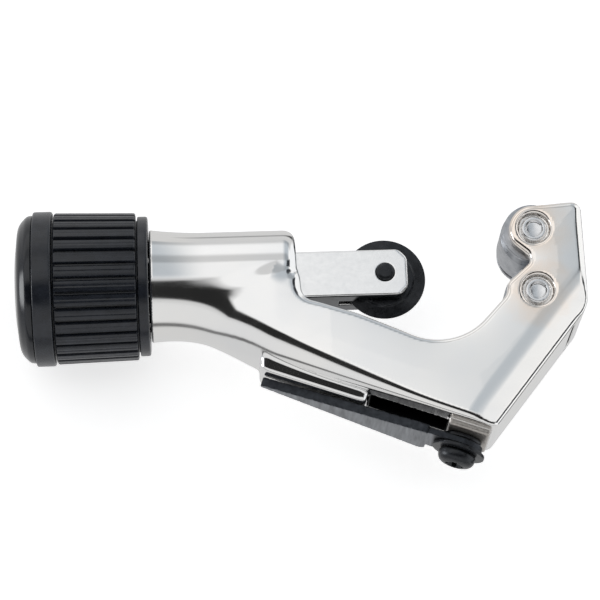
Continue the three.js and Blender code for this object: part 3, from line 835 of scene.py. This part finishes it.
def make_cap():
    tip, seat = CAP_LOW[0], -84.5
    profile = rounded_profile([
        (tip, 0), (tip + 0.25, 9, 30), (tip + 1.1, 15.6, 6), (tip + 3.2, 17.75, 3), (seat, 17.9, 0.3),
        (seat, 9.4, 0.1), (seat + 1.2, 9.4, 0.1), (seat + 1.2, 7.6), (seat - 1.6, 7.6), (seat - 1.6, 0),
    ], 10)
    piece = turned("domed_cap", profile, "x", segments=160)
    finish_piece(piece, "knob", "cap_plastic", GLOSS_PLASTIC, "knob_end_cap")


# ---- Slide, wheel and rollers ----


BAR_EDGE_R = 0.55
BAR_BORE_R = 3.72
BAR_BORE_END_X = -12.8
BAR_SLOT_HALF = 1.5
BAR_SLOT_START_X = -11.2
WHEEL_PIN_HOLE_R = 2.2


def bar_field(x, y, z):
    a, b = np.abs(y) - BAR_HALF + BAR_EDGE_R, np.abs(z) - BAR_HALF + BAR_EDGE_R
    section = np.hypot(np.maximum(a, 0), np.maximum(b, 0)) + np.minimum(np.maximum(a, b), 0) - BAR_EDGE_R
    rear, front = BAR_LOW[0], BAR_HIGH[0]
    corner = (x - front + 2 + np.abs(y) - BAR_HALF) * math.sqrt(0.5)
    body = smooth_max(section, np.maximum(rear - x, x - front), 0.6)
    body = smooth_max(body, corner, 0.8)
    bore = np.maximum(np.hypot(y, z) - BAR_BORE_R, x - BAR_BORE_END_X)
    slot = np.maximum(np.abs(z) - BAR_SLOT_HALF, BAR_SLOT_START_X - x)
    hole = np.hypot(x, y) - WHEEL_PIN_HOLE_R
    return smooth_max(body, -np.minimum(np.minimum(bore, slot), hole), 0.3)


def make_bar():
    step = 0.32
    points, quads, normals = skin(bar_field, BAR_LOW - 0.6, BAR_HIGH + 0.6, step)
    piece = build("square_slide", points, quads, normals)
    finish_piece(piece, "slide", "bar_metal", BAR_SILVER, "slide_bar")


def make_wheel():
    half = 1.35
    profile = rounded_profile([
        (-half, 2.22), (-half, 6.9, 0.3), (-0.8, 7.3, 0.6), (-0.04, WHEEL_R, 0.02), (0.04, WHEEL_R, 0.02),
        (0.8, 7.3, 0.6), (half, 6.9, 0.3), (half, 2.22), (-half, 2.22),
    ])
    piece = turned("cutter_disc", profile, "z", segments=192)
    finish_piece(piece, "wheel", "wheel_steel", BLACK_STEEL, "cutter_wheel")


def make_wheel_pin():
    low, high = WHEEL_PIN_LOW[2], WHEEL_PIN_HIGH[2]
    profile = rounded_profile([
        (low, 0), (low, 2.15, 0.4), (-6.85, 2.15), (-6.85, 1.65), (-5.95, 1.65), (-5.95, 2.15),
        (high - 0.3, 2.15, 0.35), (high, 1.5, 0.4), (high, 0),
    ])
    piece = turned("wheel_axle", profile, "z", segments=64)
    finish_piece(piece, "slide", "pin_black", BLACK_STEEL, "wheel_pin")


def make_rollers():
    half, r = ROLLER_HALF, ROLLER_R
    side = [
        (half, 2.3), (half, r - 0.3, 0.3), (half - 1.1, r - 0.3, 0.3), (half - 1.5, r - 1.0, 0.4),
        (half - 2.5, r - 1.0, 0.5), (half - 3.3, r, 0.5),
    ]
    mirrored = [(-c[0], *c[1:]) for c in reversed(side)]
    profile = rounded_profile(side + mirrored + [(half, 2.3)])
    for name, y in (("upper_roller", PIN_Y), ("lower_roller", -PIN_Y)):
        piece = turned("grooved_" + name, profile, "z", (PIN_X, y, 0), segments=128)
        finish_piece(piece, name, "roller_chrome", ROLLER_STEEL, name)


def make_roller_pins():
    seat, top = 11.25, ROLLER_PIN_HIGH[2]
    half = [
        (seat, 2.2), (seat, 3.2, 0.2), (top - 0.4, 3.2, 0.5), (top, 2.7, 0.3), (top, 2.2, 0.2),
        (top - 0.6, 1.8, 0.5), (top - 0.75, 0),
    ]
    mirrored = [(-c[0], *c[1:]) for c in reversed(half)]
    profile = rounded_profile(mirrored + half)
    for name, y in (("upper_roller_pin", PIN_Y), ("lower_roller_pin", -PIN_Y)):
        piece = turned("riveted_" + name, profile, "z", (PIN_X, y, 0), segments=64)
        finish_piece(piece, "frame", "pin_bright", BRIGHT_STEEL, name)


# ---- Reamer ----

# Places along v, the direction square to the arm, and half thicknesses of the stack under it.
BLADE_V = -34.25
BLADE_HALF = 1.15
TANG_V = -34.2
TANG_HALF = 0.8
TANG_R = 5.4
PIVOT_HOLE_R = 2.7
HEAD_R = 4.55
HEAD_SEAT_V = -36.2
SHANK_R = 2.4
SHANK_V = (-37.5, -20)
DOME_R = 10.4
DOME_V = -29.0
CROSS_HALF_WIDTH = 0.55
CROSS_HALF_LENGTH = 2.1
CROSS_FLOOR_V = -37.8
FLAT_WASHER_V = (-36, -35.2)
FLAT_WASHER_R = 6.4
SPRING_WASHER_V = (-33.2, -32.2)
SPRING_WASHER_R = 4.8

BLADE_CORNERS = [
    (-20, 0.7, 0.4), (20.3, -8, 1.0), (21.5, -6.8, 0.4), (21.5, 6, 0.4), (20, 6, 0.4), (-20, 1.9, 0.4),
]


def blade_field(x, y, z):
    u, v = arm_coordinates(x, y)
    flat = outline_distance(BLADE_CORNERS, u, z)
    blade = extruded(flat, v - BLADE_V, BLADE_HALF, 0.12)
    round_end = np.hypot(np.maximum(u - REAMER_U, 0), z) - TANG_R
    tang_flat = smooth_max(np.abs(z) - TANG_R, np.maximum(20 - u, round_end), 0.2)
    tang = extruded(tang_flat, v - TANG_V, TANG_HALF, 0.12)
    hole = np.hypot(u - REAMER_U, z) - PIVOT_HOLE_R
    return np.maximum(np.minimum(blade, tang), -hole)


def make_blade():
    low, high = tool_box("reamer_blade")
    step = 0.28
    points, quads, normals = skin(blade_field, low - 0.8, high + 0.8, step)
    piece = build("ground_blade", points, quads, normals)
    finish_piece(piece, "reamer", "blade_steel", GROUND_STEEL, "reamer_blade")


PIVOT = (*on_arm(REAMER_U, 0), 0)


def screw_field(x, y, z):
    u, v = arm_coordinates(x, y)
    reach = np.hypot(u - REAMER_U, z)
    dome = np.hypot(reach, v - DOME_V) - DOME_R
    head = smooth_max(smooth_max(reach - HEAD_R, v - HEAD_SEAT_V, 0.5), dome, 1.4)
    shank = np.maximum(reach - SHANK_R, np.maximum(SHANK_V[0] - v, v - SHANK_V[1]))
    a, b = np.abs(u - REAMER_U), np.abs(z)
    across = np.maximum(a - CROSS_HALF_WIDTH, b - CROSS_HALF_LENGTH)
    along = np.maximum(b - CROSS_HALF_WIDTH, a - CROSS_HALF_LENGTH)
    cross = np.maximum(np.minimum(across, along), v - CROSS_FLOOR_V)
    cone = np.hypot(a, b) * 0.8 + (v + 37.5) * 0.6 - 0.5
    return smooth_max(np.minimum(head, shank), -np.minimum(cross, cone), 0.25)


def washer_profile(span, radius, rounding):
    """A closed ring section round the pivot screw between two values of v."""
    low, high = span
    return rounded_profile([
        (low, PIVOT_HOLE_R), (low, radius, rounding), (high, radius, rounding), (high, PIVOT_HOLE_R),
        (low, PIVOT_HOLE_R),
    ])


def make_reamer_fasteners():
    low, high = tool_box("reamer_screw")
    step = 0.2
    points, quads, normals = skin(screw_field, low - 0.5, high + 0.5, step)
    piece = build("cross_head_screw", points, quads, normals)
    finish_piece(piece, "frame", "black_fastener", BLACK_STEEL, "reamer_screw")
    ring = washer_profile(FLAT_WASHER_V, FLAT_WASHER_R, 0.2)
    piece = turned("flat_washer", ring, "arm", PIVOT, segments=96)
    finish_piece(piece, "frame", "black_fastener", BLACK_STEEL, "reamer_flat_washer")
    ring = washer_profile(SPRING_WASHER_V, SPRING_WASHER_R, 0.25)
    piece = turned("spring_washer", ring, "arm", PIVOT, segments=96)
    finish_piece(piece, "frame", "black_fastener", BLACK_STEEL, "reamer_spring_washer")


def dress_hidden_nodes():
    """The inner CAD nodes stay as they are and only get their materials."""
    looks = {
        "knob_screw": BRIGHT_STEEL, "knob_lock_washer": BRIGHT_STEEL, "feed_screw": BRIGHT_STEEL,
        "front_thrust_washer": BRIGHT_STEEL, "rear_thrust_washer": BRIGHT_STEEL,
        "screw_retaining_ring": BLACK_STEEL, "wheel_pin_clip": BLACK_STEEL,
    }
    for name, look in looks.items():
        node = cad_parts[name]
        if not node.material_slots:
            node.data.materials.append(look)
        for place in node.material_slots:
            place.material = look


make_casting()
make_knob()
make_cap()
make_bar()
make_wheel()
make_wheel_pin()
make_rollers()
make_roller_pins()
make_blade()
make_reamer_fasteners()
dress_hidden_nodes()

# ---- Floor, light and camera ----


FLOOR_HALF = 3.0


def make_floor():
    """The pale floor. The plating doesn't mirror it, and shows the studio's grey there instead."""
    data = bpy.data.meshes.new("floor")
    r = FLOOR_HALF
    data.from_pydata([(-r, -r, 0), (r, -r, 0), (r, r, 0), (-r, r, 0)], [], [(0, 1, 2, 3)])
    floor = bpy.data.objects.new("floor", data)
    bpy.context.scene.collection.objects.link(floor)
    floor.visible_glossy = False
    shader = Shader("floor_white", Roughness=1.0)
    shader.set("Base Color", shader.mix(shader.noise(6, 2), (0.9, 0.9, 0.9, 1), (0.91, 0.91, 0.91, 1)))
    shader.surface.inputs["Specular IOR Level"].default_value = 0.0
    shader.surface.inputs["Emission Color"].default_value = (1, 1, 1, 1)
    shader.surface.inputs["Emission Strength"].default_value = 0.62
    floor.data.materials.append(shader.material)


# The studio round the feed axis: soft panels and dark gaps, given in round numbers. Each has its
# first and last angle in degrees from the -Y horizon up over +Z, its soft edge's width and a brightness.
AMBIENT = 0.65
STUDIO = [
    (0, 35, 10, 0.75),  # low panel in front
    (-15, -10, 5, 0.15),  # far edge of the table
    (50, 80, 5, 0.02),  # camera and its stand
    (90, 120, 5, 0.95),  # panel overhead
    (145, 165, 10, 1.0),  # high panel behind
]


def make_world():
    """A soft studio: an even grey with the panels and gaps of STUDIO, and a few more along the feed axis."""
    world = bpy.data.worlds.new("studio")
    bpy.context.scene.world = world
    world.use_nodes = True
    graph = Graph(world.node_tree)
    background = world.node_tree.nodes["Background"]
    direction = graph.add("ShaderNodeTexCoord").outputs["Generated"]
    x, y, z = graph.add("ShaderNodeSeparateXYZ", Vector=direction).outputs
    round_axis = graph.math("DEGREES", graph.math("ARCTAN2", z, graph.math("MULTIPLY", y, -1.0)))
    drift = graph.math("MULTIPLY", graph.math("MAXIMUM", graph.math("SUBTRACT", x, 0.3), 0.0), 35.0)
    place = graph.math("ADD", round_axis, drift)
    colour = grey(AMBIENT)
    for low, high, soft, value in STUDIO:
        colour = graph.mix(graph.band(place, low, high, soft), colour, grey(value))
    # Overhead the light falls off towards the rollers' end.
    falling = graph.math("MULTIPLY", graph.step(x, -0.01, 0.19), graph.remap(x, 1, 0, 0.42, 0.52))
    overhead = graph.math("MULTIPLY", falling, graph.step(round_axis, 80, 97))
    colour = graph.mix(overhead, colour, (0.52, 0.56, 0.6, 1), "MULTIPLY")
    beyond = graph.step(x, 0.56, 0.66)
    colour = graph.mix(beyond, colour, (0.97, 0.98, 0.99, 1))
    # Two dark gaps in the lights beyond the rollers.
    gap = graph.math("MULTIPLY", graph.band(x, 0.32, 0.6, 0.06), graph.band(y, 0.23, 0.5, 0.05))
    corner = graph.math("MULTIPLY", graph.band(x, 0.66, 0.84, 0.03), graph.band(y, -0.45, 0.16, 0.05))
    colour = graph.mix(graph.math("MAXIMUM", gap, corner), colour, (0.03, 0.033, 0.038, 1))
    # The knob's end of the studio is evenly lit, with a lamp in the middle.
    behind = graph.math("MULTIPLY", x, -1.0)
    colour = graph.mix(graph.step(behind, 0.8, 0.95), colour, (0.55, 0.56, 0.58, 1))
    lamp = graph.step(behind, 0.955, 0.985)
    colour = graph.mix(lamp, colour, (5.0, 5.1, 5.2, 1))
    graph.tree.links.new(colour, background.inputs["Color"])


# The photograph's viewpoint: angles in degrees, the distance to a target in the tool frame, and the focal
# length as a share of the picture's width, as a camera fitted to the photo gave them.
VIEW_AZIMUTH, VIEW_ELEVATION, VIEW_ROLL = -6.36, 71.9, -4.37
VIEW_DISTANCE = 694.2
VIEW_TARGET = (-20.58, -4.6, 0)
FOCAL_SHARE = 2869.4 / 600
SENSOR_WIDTH = 36


def make_camera():
    """A long lens above the tool, a little towards its underside."""
    azimuth, elevation, roll = (math.radians(a) for a in (VIEW_AZIMUTH, VIEW_ELEVATION, VIEW_ROLL))
    level = math.cos(elevation)
    back = Vector((math.sin(azimuth) * level, -math.cos(azimuth) * level, math.sin(elevation)))
    right = Vector((math.cos(azimuth), math.sin(azimuth), 0))
    up = back.cross(right)
    turned_right = right * math.cos(roll) - up * math.sin(roll)
    turned_up = right * math.sin(roll) + up * math.cos(roll)
    target = Vector(ORIGIN) + Vector(VIEW_TARGET) * MM
    data = bpy.data.cameras.new("camera")
    data.sensor_width = SENSOR_WIDTH
    data.lens = SENSOR_WIDTH * FOCAL_SHARE
    data.clip_start = 0.01
    camera = bpy.data.objects.new("camera", data)
    axes = Matrix((turned_right, turned_up, back)).transposed()
    camera.matrix_world = Matrix.Translation(target + back * VIEW_DISTANCE * MM) @ axes.to_4x4()
    bpy.context.scene.collection.objects.link(camera)
    bpy.context.scene.camera = camera


make_floor()
make_world()
make_camera()
bpy.context.scene.view_settings.view_transform = "Standard"
